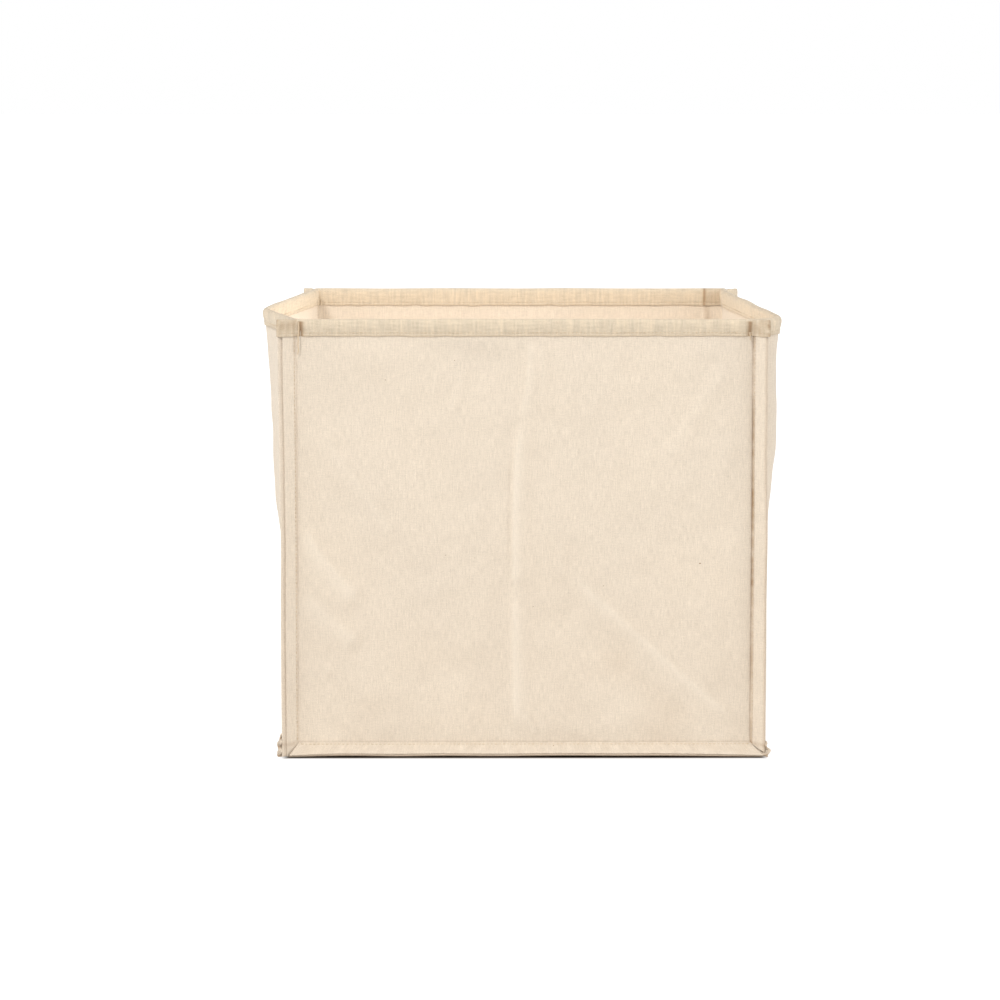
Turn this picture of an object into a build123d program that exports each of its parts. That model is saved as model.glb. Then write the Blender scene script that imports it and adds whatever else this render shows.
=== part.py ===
from build123d import *
import os
from math import sqrt

# A soft storage bin sewn from five canvas panels, with a steel wire in its bound rim.
# Millimetres, +Z up, front towards -Y, origin on the floor under the middle of the bin.

# Driving dimensions
rim_height = 320.0        # floor to the top of the rim
seam_half = 166.0         # middle of the bin to each wall, at its seams
mouth_bow = 20.0          # how far the two side walls bow outwards at the mouth
bow_curve = 0.5           # the bow grows with this power of the height, so the side walls belly out
bow_levels = [0, 0.05, 0.15, 0.3, 0.5, 0.75, 1]    # shares of the height where the bow is set
cloth = 1.0               # thickness of the coated canvas
seam_allowance = 12.0     # cloth outside each seam, turned out as a fin at 45 degrees
layer_gap = 0.1           # between two layers of cloth that are sewn together
flat_base_half = 130.0    # half of the flat middle of the base, which lies on the floor

binding_height = 12.0     # how far the rim binding covers the walls
binding_tape = 0.8        # thickness of the binding
wire_diameter = 2.5
wire_bend = 8.0           # bend at each corner of the wire, on its middle line
wire_ends_gap = 1.0       # between the two ends of the wire, inside the ferrule
ferrule_length = 24.0
ferrule_wall = 0.4
ferrule_slack = 0.03      # between the wire and the ferrule
ferrule_room = 0.15       # between the ferrule and the binding

fit_slack = 0.3           # between the rim and the walls that it sits on
thread = 0.6              # thickness of a line of sewing thread
thread_lift = 0.05        # between the thread and the cloth under it
seam_line = 2.0           # from the fold of a fin out to its sewing line
seam_end = 4.0            # where a sewing line stops short of a corner

# Worked out from those
half_gap = layer_gap / 2
slope = 1 / sqrt(2)
# the lowest edge of the base fin touches the floor, so this is the height of the base seam
base_seam_height = (seam_allowance + half_gap + cloth) * slope
bow_radius = (seam_half**2 + mouth_bow**2) / (2 * mouth_bow)
bow_centre = seam_half + mouth_bow - bow_radius
ferrule_radius = wire_diameter / 2 + ferrule_wall
leg_inside = ferrule_radius + ferrule_room    # from the middle of the wall to the binding's inner face
leg_outside = leg_inside + binding_tape
channel_top = rim_height - binding_tape
channel_bottom = rim_height - binding_height
wire_height = channel_top - ferrule_radius - ferrule_room
wall_top = wire_height - wire_diameter / 2 - 2 * fit_slack
far = 400.0               # longer than anything in the bin


def corner_spot(along, away, side):
    """A point beside a front corner: along the fin from its fold, and away from its middle plane."""
    x = seam_half + (along - away) * slope
    y = -seam_half - (along + away) * slope
    return (side * x, y)


def base_spot(along, above):
    """A point of the front base fin, in Y and Z: along it from its fold, and above its middle plane."""
    y = -seam_half - (along + above) * slope
    z = base_seam_height + (above - along) * slope
    return (y, z)


def front_sector(gap):
    """The quarter of the space in front, between the two diagonals of the bin."""
    shift = gap * sqrt(2)
    outline = Polyline((0, -shift), (-far, -far - shift), (far, -far - shift), close=True)
    return Pos(0, 0, -far / 2) * extrude(make_face(outline), far * 2)


def extrude_along_x(points):
    """A length of a section drawn in Y and Z."""
    section = Plane.YZ * make_face(Polyline(*points, close=True))
    return extrude(section, far, both=True)


def wall_section(bow, height):
    """A level cut through the sheet of a front wall, bowed out by this much in its middle."""
    reach = seam_half + cloth * 2
    outside = seam_half + cloth / 2
    inside = seam_half - cloth / 2
    if bow == 0:
        outline = Polyline(
            (-reach, -outside), (reach, -outside), (reach, -inside), (-reach, -inside), close=True
        )
        return Pos(0, 0, height) * make_face(outline)
    radius = (seam_half**2 + bow**2) / (2 * bow)
    centre = radius - seam_half - bow
    outer_end = centre - sqrt((radius + cloth / 2) ** 2 - reach**2)
    inner_end = centre - sqrt((radius - cloth / 2) ** 2 - reach**2)
    edges = [
        ThreePointArc((-reach, outer_end), (0, -outside - bow), (reach, outer_end)),
        Line((reach, outer_end), (reach, inner_end)),
        ThreePointArc((reach, inner_end), (0, -inside - bow), (-reach, inner_end)),
        Line((-reach, inner_end), (-reach, outer_end)),
    ]
    return Pos(0, 0, height) * make_face(edges)


def wall_sheet(bow):
    """The standing sheet of a front wall, straight at its foot and bowed by this much at its top."""
    if bow == 0:
        return extrude(wall_section(0, base_seam_height), wall_top - base_seam_height)
    levels = []
    for share in bow_levels:
        height = base_seam_height + share * (wall_top - base_seam_height)
        levels.append(wall_section(bow * share**bow_curve, height))
    return loft(levels, ruled=True)


def panel(bow):
    """One wall panel, facing the front: its sheet, half of two corner fins and half of a base fin."""
    sheet = wall_sheet(bow)
    start = -cloth / 4
    for side in (-1, 1):
        fin = Polyline(
            corner_spot(start, half_gap, side),
            corner_spot(seam_allowance, half_gap, side),
            corner_spot(seam_allowance, half_gap + cloth, side),
            corner_spot(start, half_gap + cloth, side),
            close=True,
        )
        sheet = sheet + extrude(make_face(fin), wall_top)
    under_base_fin = extrude_along_x(
        [base_spot(-far, half_gap), base_spot(far, half_gap), base_spot(far, -far), base_spot(-far, -far)]
    )
    base_fin = extrude_along_x(
        [
            base_spot(start, half_gap),
            base_spot(seam_allowance, half_gap),
            base_spot(seam_allowance, half_gap + cloth),
            base_spot(start, half_gap + cloth),
        ]
    )
    return (sheet - under_base_fin + base_fin) & front_sector(half_gap)


def base():
    """The base panel: flat on the floor in its middle, rising to its seams, with a fin all round."""
    lower = -half_gap - cloth
    section = extrude_along_x(
        [
            (0, 0),
            (-flat_base_half, 0),
            base_spot(cloth / 2, lower),
            base_spot(seam_allowance, lower),
            base_spot(seam_allowance, -half_gap),
            base_spot(0, -half_gap),
            (-flat_base_half, cloth),
            (0, cloth),
        ]
    )
    quarter = section & front_sector(0)
    whole = quarter
    for turn in (90, 180, 270):
        whole = whole + Rot(0, 0, turn) * quarter
    return whole


def thread_between(start, end):
    """A straight line of sewing thread."""
    path = Line(start, end)
    section = Plane(origin=path @ 0, z_dir=path % 0) * Circle(thread / 2)
    return sweep(section, path)


def corner_seam():
    """The sewing of the front left corner fin, a line on each side of it."""
    away = half_gap + cloth + thread_lift + thread / 2
    low = base_seam_height + seam_end
    high = channel_bottom - 2 * fit_slack
    lines = []
    for face in (-1, 1):
        x, y = corner_spot(seam_line, face * away, -1)
        lines.append(thread_between((x, y, low), (x, y, high)))
    return lines


def base_seam():
    """The sewing of the front base fin, a line above it and a line under it."""
    away = half_gap + cloth + thread_lift + thread / 2
    reach = seam_half - seam_end
    lines = []
    for face in (-1, 1):
        y, z = base_spot(seam_line, face * away)
        lines.append(thread_between((-reach, y, z), (reach, y, z)))
    return lines


def mouth_outline(offset, bend):
    """The outline of the mouth, so far outside the middle of the walls, with its corners rounded."""
    half_depth = seam_half + offset
    half_width = bow_centre + sqrt((bow_radius + offset) ** 2 - half_depth**2)
    widest = seam_half + mouth_bow + offset
    edges = [
        Line((-half_width, -half_depth), (half_width, -half_depth)),
        ThreePointArc((half_width, -half_depth), (widest, 0), (half_width, half_depth)),
        Line((half_width, half_depth), (-half_width, half_depth)),
        ThreePointArc((-half_width, half_depth), (-widest, 0), (-half_width, -half_depth)),
    ]
    face = make_face(edges)
    if bend > 0:
        face = fillet(face.vertices(), bend)
    return face


def mouth_block(offset, bend, low, high):
    """A solid block over the whole mouth, between two heights."""
    return Pos(0, 0, low) * extrude(mouth_outline(offset, bend), high - low)


def fin_blocks(around, low, high):
    """Four blocks over the tops of the corner fins, this much larger than the fins."""
    half = half_gap + cloth + around
    reach = seam_allowance + around
    outline = Polyline(
        corner_spot(0, -half, 1),
        corner_spot(reach, -half, 1),
        corner_spot(reach, half, 1),
        corner_spot(0, half, 1),
        close=True,
    )
    block = Pos(0, 0, low) * extrude(make_face(outline), high - low)
    return [Rot(0, 0, turn) * block for turn in (0, 90, 180, 270)]


def rim_binding():
    """The tape folded over the wire and the tops of the walls, and round the tops of the fins."""
    outer = mouth_block(leg_outside, 0, channel_bottom, rim_height)
    for block in fin_blocks(fit_slack + binding_tape, channel_bottom, rim_height):
        outer = outer + block
    below = channel_bottom - 1
    channel = mouth_block(leg_inside, 0, below, channel_top)
    for block in fin_blocks(fit_slack, below, channel_top):
        channel = channel + block
    channel = channel - mouth_block(-leg_inside, wire_bend - leg_inside, below - 1, rim_height)
    opening = mouth_block(-leg_outside, wire_bend - leg_outside, below, rim_height + 1)
    return outer - opening - channel


def rim_wire():
    """One length of steel wire, bent to the mouth, with its ends meeting in the middle of the back."""
    widest = seam_half + mouth_bow
    end = wire_ends_gap / 2
    with BuildLine() as path:
        Line((end, seam_half), (seam_half, seam_half))
        ThreePointArc((seam_half, seam_half), (widest, 0), (seam_half, -seam_half))
        Line((seam_half, -seam_half), (-seam_half, -seam_half))
        ThreePointArc((-seam_half, -seam_half), (-widest, 0), (-seam_half, seam_half))
        Line((-seam_half, seam_half), (-end, seam_half))
        corners = [v for v in path.vertices() if abs(v.X) > seam_half - 1]
        fillet(corners, wire_bend)
    wire = Pos(0, 0, wire_height) * path.line
    section = Plane(origin=wire @ 0, z_dir=wire % 0) * Circle(wire_diameter / 2)
    return sweep(section, wire)


def rim_wire_ferrule():
    """The steel sleeve that joins the two ends of the wire."""
    bore = wire_diameter / 2 + ferrule_slack
    tube = Circle(ferrule_radius) - Circle(bore)
    sleeve = extrude(tube, ferrule_length / 2, both=True)
    return Pos(0, seam_half, wire_height) * Rot(0, 90, 0) * sleeve


def rim_stitching():
    """The sewing near the lower edge of the binding, outside and inside, on all four sides."""
    height = channel_bottom + seam_line
    reach = seam_half - 2 * seam_end
    lines = []
    for face in (-1, 1):
        offset = face * (leg_outside + thread_lift + thread / 2)
        depth = seam_half + offset
        radius = bow_radius + offset
        end = bow_centre + sqrt(radius**2 - reach**2)
        for side in (-1, 1):
            lines.append(thread_between((-reach, side * depth, height), (reach, side * depth, height)))
            arc = ThreePointArc(
                (side * end, -reach, height),
                (side * (bow_centre + radius), 0, height),
                (side * end, reach, height),
            )
            section = Plane(origin=arc @ 0, z_dir=arc % 0) * Circle(thread / 2)
            lines.append(sweep(section, arc))
    return lines


def turned(shapes, angle):
    """The same shapes, turned about the middle of the bin."""
    return [Rot(0, 0, angle) * shape for shape in shapes]


def save(name, shapes):
    """Write one node, which may hold several separate solids."""
    solids = []
    for shape in shapes:
        solids += shape.solids()
    body = solids[0] if len(solids) == 1 else Compound(children=solids)
    export_step(body, f"parts/{name}.step")


os.makedirs("parts", exist_ok=True)

walls = [("front", 0, 0), ("right", 90, mouth_bow), ("back", 180, 0), ("left", 270, mouth_bow)]
for side, angle, bow in walls:
    save(f"{side}_panel", turned([panel(bow)], angle))
    save(f"base_seam_{side}", turned(base_seam(), angle))

corners = [("front_left", 0), ("front_right", 90), ("back_right", 180), ("back_left", 270)]
for corner, angle in corners:
    save(f"corner_seam_{corner}", turned(corner_seam(), angle))

save("base_panel", [base()])
save("rim_binding", [rim_binding()])
save("rim_wire", [rim_wire()])
save("rim_wire_ferrule", [rim_wire_ferrule()])
save("rim_stitching", rim_stitching())
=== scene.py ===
import bmesh
import bpy
import numpy as np
from math import cos, pi, radians, sin, sqrt
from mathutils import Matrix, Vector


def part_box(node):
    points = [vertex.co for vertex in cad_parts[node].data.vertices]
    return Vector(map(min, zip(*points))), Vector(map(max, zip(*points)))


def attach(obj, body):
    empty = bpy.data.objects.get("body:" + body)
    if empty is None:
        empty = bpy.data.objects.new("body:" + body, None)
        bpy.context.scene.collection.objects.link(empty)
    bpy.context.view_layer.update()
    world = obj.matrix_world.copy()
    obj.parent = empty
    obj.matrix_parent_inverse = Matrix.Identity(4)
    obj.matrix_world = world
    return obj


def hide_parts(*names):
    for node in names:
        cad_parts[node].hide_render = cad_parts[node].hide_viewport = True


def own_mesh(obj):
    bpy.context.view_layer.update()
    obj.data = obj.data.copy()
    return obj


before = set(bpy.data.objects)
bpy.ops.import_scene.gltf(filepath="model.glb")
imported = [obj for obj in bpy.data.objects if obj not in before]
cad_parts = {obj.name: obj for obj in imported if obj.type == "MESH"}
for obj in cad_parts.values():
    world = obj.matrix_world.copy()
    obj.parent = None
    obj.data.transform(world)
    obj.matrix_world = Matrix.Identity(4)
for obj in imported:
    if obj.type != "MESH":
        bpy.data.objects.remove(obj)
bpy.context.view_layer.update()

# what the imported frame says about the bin, in metres
sideNames = ["front", "right", "back", "left"]
cornerNames = ["front_right", "back_right", "back_left", "front_left"]   # at each side's right end
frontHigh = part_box("front_panel")[1]
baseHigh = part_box("base_panel")[1]
rimLow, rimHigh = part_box("rim_binding")
wireLow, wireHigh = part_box("rim_wire")
ferruleLow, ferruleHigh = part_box("rim_wire_ferrule")

clothThick = 0.001
layerGap = 0.0001
tapeThick = 0.0007
seamHalf = -frontHigh[1] + clothThick / 2          # middle of the bin to a wall, at its seams
wallTop = frontHigh[2]
rimTop = rimHigh[2]
bandBottom = rimLow[2]
slant = sin(pi / 4)
finReach = (baseHigh[0] - seamHalf) / slant        # the turned-out seam allowance
seamHeight = baseHigh[2]
overlap = 0.0009                         # how far up inside the tape the walls are parted
splitHeight = bandBottom + overlap
layerOff = (layerGap + clothThick) / 2             # from a seam's middle plane to the middle of one layer
faceOff = layerOff + clothThick / 2                # from a seam's middle plane to its outer face
wireRadius = (wireHigh[2] - wireLow[2]) / 2
print("frame read: seams", round(seamHalf, 4), "fins", round(finReach, 4), "base seam", round(seamHeight, 4))


def ramp(value, low, high):
    # 0 below low, 1 above high, smooth between
    t = np.clip((value - low) / (high - low), 0.0, 1.0)
    return t * t * (3 - 2 * t)


def ripple(x, y, seed, wavelength, stretch=1.0, waves=16):
    # soft random waves of about this length, mostly between -1 and 1, longer along y by stretch
    rnd = np.random.RandomState(seed)
    total = np.zeros(np.broadcast(x, y).shape)
    for _ in range(waves):
        turn = rnd.uniform(0, 2 * pi)
        size = 2 * pi / (wavelength * rnd.uniform(0.7, 1.6))
        total = total + np.sin(size * (x * cos(turn) + y * sin(turn) / stretch) + rnd.uniform(0, 2 * pi))
    return total / sqrt(waves) * 0.85


def wobble(along, seed, wavelength):
    # ripple along one line
    return ripple(along, along * 0, seed, wavelength)


def near(away, width):
    # 1 at no distance, fading out over about this width
    return np.exp(-((away / width) ** 2))


def pairs(first, second):
    return np.stack(np.broadcast_arrays(first, second), axis=-1).reshape(-1, 2)


def fold(x, z, points, height, width, keen=0.0, lean=0.0, ends=0.18):
    # the lift of a crease along these points: keen 0 is round, 1 is sharp, and lean makes one flank steeper
    line = np.array(points)
    steps = np.diff(line, axis=0)
    lengths = np.linalg.norm(steps, axis=1)
    total = lengths.sum()
    nearest = np.full(x.shape, 1e9)
    along = np.zeros(x.shape)
    flank = np.ones(x.shape)
    done = 0.0
    for start, step, length in zip(line[:-1], steps, lengths):
        share = ((x - start[0]) * step[0] + (z - start[1]) * step[1]) / length**2
        share = np.clip(share, 0.0, 1.0)
        dx = x - start[0] - share * step[0]
        dz = z - start[1] - share * step[1]
        away = np.hypot(dx, dz)
        closer = away < nearest
        nearest = np.where(closer, away, nearest)
        along = np.where(closer, (done + share * length) / total, along)
        flank = np.where(closer, np.sign(step[0] * dz - step[1] * dx), flank)
        done += length
    reach = nearest / (width * (1 + lean * flank))
    shape = (1 - keen) * np.exp(-reach**2) + keen * np.exp(-np.sqrt(reach**2 + 0.02))
    return height * shape * ramp(along, -0.001, ends) * (1 - ramp(along, 1 - ends, 1.001))


def turned(quarter, x, y, z):
    # a point of the front, carried round the bin by quarter turns
    c, s = [(1, 0), (0, 1), (-1, 0), (0, -1)][quarter % 4]
    return np.stack(np.broadcast_arrays(x * c - y * s, x * s + y * c, z), axis=-1).astype(float)


# ---- the walls: along is to the right as seen from outside, up is above the floor, all in metres,
# but the creases are in mm: the points of each, then its height, width, keen and lean
walls = {
    "front": {
        "puff": 0.0022, "seed": 11,
        "crumple": 0.00042, "wave": 0.0012,
        "folds": [
            ([(4, 309), (2, 275), (-3, 243)], 1.6, 5, 0.2, 0.5),
            ([(-1.5, 252), (-6.6, 222), (-7.6, 175), (-7.6, 112)], 2.4, 5.6, 0.3, 0.5),
            ([(-5, 240), (-9.8, 215), (-10.8, 175), (-10.6, 130)], -0.7, 1.4, 0, 0),
            ([(-7.8, 128), (-7.4, 85), (-6.6, 12)], 2.4, 6.6, 0.2, 0.45),
            ([(12, 307), (14, 268)], 0.6, 3, 0.2, 0.4),
            ([(23.8, 162), (26.2, 130)], 0.9, 3, 0.3, 0.5),
            ([(30, 145), (47, 122), (108, 66), (160, 21)], 2, 6.6, 0.3, -0.5),
            ([(55, 80), (105, 40), (130, 18)], -0.7, 12, 0, 0),
            ([(-43, 287), (-49, 268), (-57, 250)], 0.8, 2.6, 0.3, 0.4),
            ([(-60, 292), (-68, 262)], 0.5, 3, 0.2, 0.4),
            ([(-165, 172), (-148, 146), (-118, 112)], 2.1, 9.5, 0.2, -0.5),
            ([(-164, 122), (-146, 104), (-118, 82)], 1.9, 9, 0.2, -0.5),
            ([(-162, 80), (-140, 60)], 1, 6, 0.2, -0.4),
            ([(-150, 240), (-115, 190), (-90, 155)], 1, 7, 0.1, -0.4),
            ([(152, 292), (120, 250), (95, 205)], 0.9, 7, 0.1, 0.4),
            ([(62, 300), (76, 268)], 0.6, 3.5, 0.2, -0.4),
            ([(0, 32), (9, 14)], 0.8, 2.6, 0.2, -0.4),
            ([(9, 36), (17, 12)], 0.7, 2.6, 0.2, -0.4),
        ],
    },
    "right": {
        "bow": 0.0205, "square": 12, "even": 0.47, "skew": -0.70, "belly": 0.58, "puff": 0.0, "seed": 23,
        "crumple": 0.00030, "wave": 0.0014,
        "folds": [
            ([(-4, 300), (1, 200), (-2, 100), (2, 20)], 1, 4, 0.5, 0.2),
            ([(-160, 24), (-100, 78), (-30, 150)], 1.1, 7, 0.2, 0.2),
            ([(158, 22), (90, 90), (25, 148)], 0.9, 7, 0.2, -0.2),
            ([(60, 260), (85, 222)], 0.5, 3, 0.4, 0.2),
        ],
    },
    "back": {
        "puff": 0.0020, "seed": 37,
        "crumple": 0.00030, "wave": 0.0013,
        "folds": [
            ([(4, 305), (0, 210), (3, 110), (0, 14)], 1.4, 3.2, 0.6, 0.2),
            ([(-158, 22), (-95, 82), (-20, 158)], 1.1, 7, 0.2, 0.2),
            ([(160, 20), (110, 66), (40, 130)], 1, 7, 0.2, -0.2),
            ([(-90, 250), (-72, 205)], 0.5, 2.8, 0.4, 0),
            ([(-151, 318), (-151.5, 262)], -3, 2, 0, 0),
        ],
    },
    "left": {
        "bow": 0.0284, "peak": 0.28, "blunt": 0.08, "hollow": 1.1, "belly": 0.50, "puff": 0.0, "seed": 51,
        "crumple": 0.00030, "wave": 0.0014,
        "folds": [
            ([(3, 300), (-2, 190), (2, 90), (0, 18)], 1, 4, 0.5, 0.2),
            ([(-158, 22), (-90, 86), (-24, 150)], 1, 7, 0.2, 0.2),
            ([(160, 22), (100, 80), (30, 146)], 1.1, 7, 0.2, -0.2),
            ([(-70, 255), (-95, 215)], 0.5, 3, 0.4, 0.2),
        ],
    },
}
clothWaves = {"long": 0.11, "short": 0.022, "calmPower": 14, "calmFoot": 0.012, "calmRim": 0.018}
puckers = {
    "height": 0.00045, "length": 0.013, "footHeight": 0.00040, "footLength": 0.012,
    "reach": 0.008, "clear": 0.003,
}
# by corner: how far the thread draws the walls in, and how brown the seam is painted, most at mid height:
# painted shade in the seam's groove together with dirt
seamPull = {"width": 0.0020, "depth": [0.0012, 0.0008, 0.0008, 0.0004], "from": 0.01}
seamDirtAndShade = {
    "width": [0.0012, 0.0008, 0.0008, 0.0008], "amount": [1.25, 0.35, 0.35, 0.45],
    "middle": 0.19, "spread": 0.085, "foot": 0.30, "footWidth": 0.0012, "rawEdge": 0.25, "rawWidth": 0.0007,
}


def creases(side, along, up):
    # the height of all of a wall's creases together
    return sum(
        fold(along, up, np.array(line) / 1000, height / 1000, width / 1000, keen, lean)
        for line, height, width, keen, lean in walls[side]["folds"]
    )


def bowOut(look, t, rise):
    # the sides stand out at the mouth
    if "peak" in look:
        # drawn out to a blunt point where the cloth was creased for storage
        share = (t - look["peak"]) / np.where(t > look["peak"], 1 - look["peak"], 1 + look["peak"])
        blunt = look["blunt"]
        shape = 1 - (np.sqrt(share**2 + blunt**2) - blunt) / (sqrt(1 + blunt**2) - blunt)
        shape = shape ** look["hollow"]
    else:
        shape = (1 - np.abs(t) ** look["square"]) * (look["even"] + look["skew"] * t)
    return look["bow"] * shape * rise ** look["belly"]


def wallOut(side, along, up):
    # how far the middle of a wall's cloth stands outside its seams
    look = walls[side]
    quarter = sideNames.index(side)
    t = np.clip(along / seamHalf, -1, 1)
    rise = np.clip((up - seamHeight) / (rimTop - seamHeight), 0, 1)
    out = look["puff"] * (1 - t**4) * 4 * rise * (1 - rise)
    if "bow" in look:
        out = out + bowOut(look, t, rise)
    flat = 1 - np.abs(t) ** clothWaves["calmPower"]
    calm = flat * ramp(up, seamHeight, seamHeight + clothWaves["calmFoot"])
    calm = calm * (1 - ramp(up, bandBottom - clothWaves["calmRim"], bandBottom))
    out = out + creases(side, along, up) * calm
    out = out + look["wave"] * ripple(along, up, look["seed"], clothWaves["long"]) * calm
    out = out + look["crumple"] * ripple(along, up, look["seed"] + 1, clothWaves["short"], 1.3) * calm
    # small puckers that the sewing pulls along the seams
    edge = seamHalf - np.abs(along)
    beside = np.exp(-edge / puckers["reach"]) * ramp(edge, 0, puckers["clear"])
    out = out + puckers["height"] * wobble(up, look["seed"] + 2, puckers["length"]) * beside * calm
    depth = np.where(along > 0, seamPull["depth"][quarter], seamPull["depth"][quarter - 1])
    drawn = np.exp(-edge / seamPull["width"]) * ramp(up, seamHeight, seamHeight + seamPull["from"])
    foot = up - seamHeight
    above = np.exp(-foot / puckers["reach"]) * ramp(foot, 0, puckers["clear"]) * flat
    pulls = puckers["footHeight"] * wobble(along, look["seed"] + 3, puckers["footLength"])
    return out - depth * drawn + pulls * above


# ---- the corner fins, which turn flatter towards the mouth at the front
fins = {
    # by corner: front right, back right, back left, front left, with angles in degrees
    "angles": [39, 45, 45, 53], "anglesAtMouth": [44, 45, 45, 66], "turnFrom": 0.15, "turnTo": 0.30,
    "wander": 3.5, "wave": 0.09, "cutBack": [0.35, 0.2, 0.1, 0.0], "toFloor": [0, 0, 0, 1], "clear": 0.0008,
    "right": [1.0, 1.0, 1.0, 1.13], "left": [0.86, 1.0, 1.0, 1.0],       # the width of each side's layer
}


def finAngle(corner, up):
    mouth = fins["anglesAtMouth"][corner % 4]
    wander = fins["wander"] * wobble(up, 70 + corner % 4, fins["wave"])
    held = ramp(up, 0.0, 0.05) * (1 - ramp(up, bandBottom - 0.03, bandBottom))
    usual = fins["angles"][corner % 4]
    return np.radians(usual + (mouth - usual) * ramp(up, fins["turnFrom"], fins["turnTo"]) + wander * held)


def finPoint(corner, along, away, up):
    # along a fin from its fold, and away from its middle plane towards the side it ends
    angle = finAngle(corner, up)
    x = seamHalf + along * np.cos(angle) - away * np.sin(angle)
    y = -seamHalf - along * np.sin(angle) - away * np.cos(angle)
    return turned(corner, x, y, up)


def wallPoint(quarter, along, up, out=0.0):
    side = sideNames[quarter % 4]
    return turned(quarter, along, -seamHalf - wallOut(side, along, up) - out, up)


baseFin = {
    "spread": [1.0, 1.0, 1.0, 0.80],       # how far past each corner seam its ends reach
    "wave": 0.0005, "cornerLift": 0.0007, "outerShort": 0.20, "innerShort": 0.12,
}


def basePoint(quarter, along, down, above, seed=90):
    # on the base fin: down it from its fold, and above its middle plane
    lift = above + baseFin["wave"] * wobble(along, seed + quarter % 4, 0.05) * (down / finReach) ** 2
    spread = np.where(along > 0, baseFin["spread"][quarter % 4], baseFin["spread"][quarter % 4 - 1])
    wide = along * (1 + down * slant * spread / seamHalf)
    y = -seamHalf - (down + lift) * slant
    raised = baseFin["cornerLift"] * (np.abs(along) / seamHalf) ** 8 * down / finReach
    return turned(quarter, wide, y, seamHeight + (lift - down) * slant + raised)


def newPiece(name, points, faces, uvs, material, dirtAndShade=None, ridgeHighlight=None):
    mesh = bpy.data.meshes.new(name)
    mesh.from_pydata([tuple(p) for p in points], [], [tuple(f) for f in faces])
    layer = mesh.uv_layers.new(name="cloth")
    corners = np.empty(len(mesh.loops), dtype=np.int32)
    mesh.loops.foreach_get("vertex_index", corners)
    layer.data.foreach_set("uv", np.asarray(uvs, dtype=np.float32)[corners].ravel())
    for attribute, values in (("dirtAndShade", dirtAndShade), ("ridgeHighlight", ridgeHighlight)):
        tint = mesh.attributes.new(attribute, "FLOAT", "POINT")
        if values is not None:
            tint.data.foreach_set("value", np.clip(np.asarray(values, dtype=np.float32).ravel(), 0, 1))
    mesh.materials.append(material)
    piece = bpy.data.objects.new(name, mesh)
    bpy.context.collection.objects.link(piece)
    return piece


def thicken(piece, thickness, offset=0.0):
    # turns a bare surface into cloth with two faces and closed edges, as a plain mesh
    solid = piece.modifiers.new("thickness", "SOLIDIFY")
    solid.thickness = thickness
    solid.offset = offset
    made = bpy.data.meshes.new_from_object(piece.evaluated_get(bpy.context.evaluated_depsgraph_get()))
    piece.modifiers.clear()
    old = piece.data
    piece.data = made
    made.name = piece.name
    bpy.data.meshes.remove(old)
    made.shade_smooth()
    made.set_sharp_from_angle(angle=radians(55))
    return piece


def quads(rows, columns, first=0):
    j, i = np.meshgrid(np.arange(rows - 1), np.arange(columns - 1), indexing="ij")
    a = first + j * columns + i
    return np.stack([a, a + 1, a + columns + 1, a + columns], axis=-1).reshape(-1, 4)


# ---- materials
def node(tree, kind, **settings):
    made = tree.nodes.new(kind)
    for key, value in settings.items():
        if key in made.inputs:
            made.inputs[key].default_value = value
        else:
            setattr(made, key, value)
    return made


def newMaterial(name):
    material = bpy.data.materials.new(name)
    material.use_nodes = True
    return material, material.node_tree, material.node_tree.nodes["Principled BSDF"]


def feed(tree, made, values):
    # each input takes a number, a colour or another node's output
    for key, value in values.items():
        if isinstance(value, tuple):
            made.inputs[key].default_value = (*value, 1)
        elif isinstance(value, (int, float)):
            made.inputs[key].default_value = value
        else:
            tree.links.new(value, made.inputs[key])
    return made.outputs


def blended(tree, share, first, second):
    # from the first colour at 0 to the second at 1
    return feed(tree, node(tree, "ShaderNodeMix", data_type="RGBA"), {0: share, 6: first, 7: second})[2]


def math(tree, operation, *values):
    return feed(tree, node(tree, "ShaderNodeMath", operation=operation), dict(enumerate(values)))[0]


def bumped(tree, height, strength, distance):
    bump = node(tree, "ShaderNodeBump", Strength=strength, Distance=distance)
    return feed(tree, bump, {"Height": height})["Normal"]


def stretchedNoise(tree, place, scale, detail=2.0):
    spread = node(tree, "ShaderNodeMapping")
    spread.inputs["Scale"].default_value = scale
    tree.links.new(place, spread.inputs["Vector"])
    noise = node(tree, "ShaderNodeTexNoise", Scale=1.0, Detail=detail, Roughness=0.55)
    tree.links.new(spread.outputs["Vector"], noise.inputs["Vector"])
    return noise.outputs["Fac"]


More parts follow.
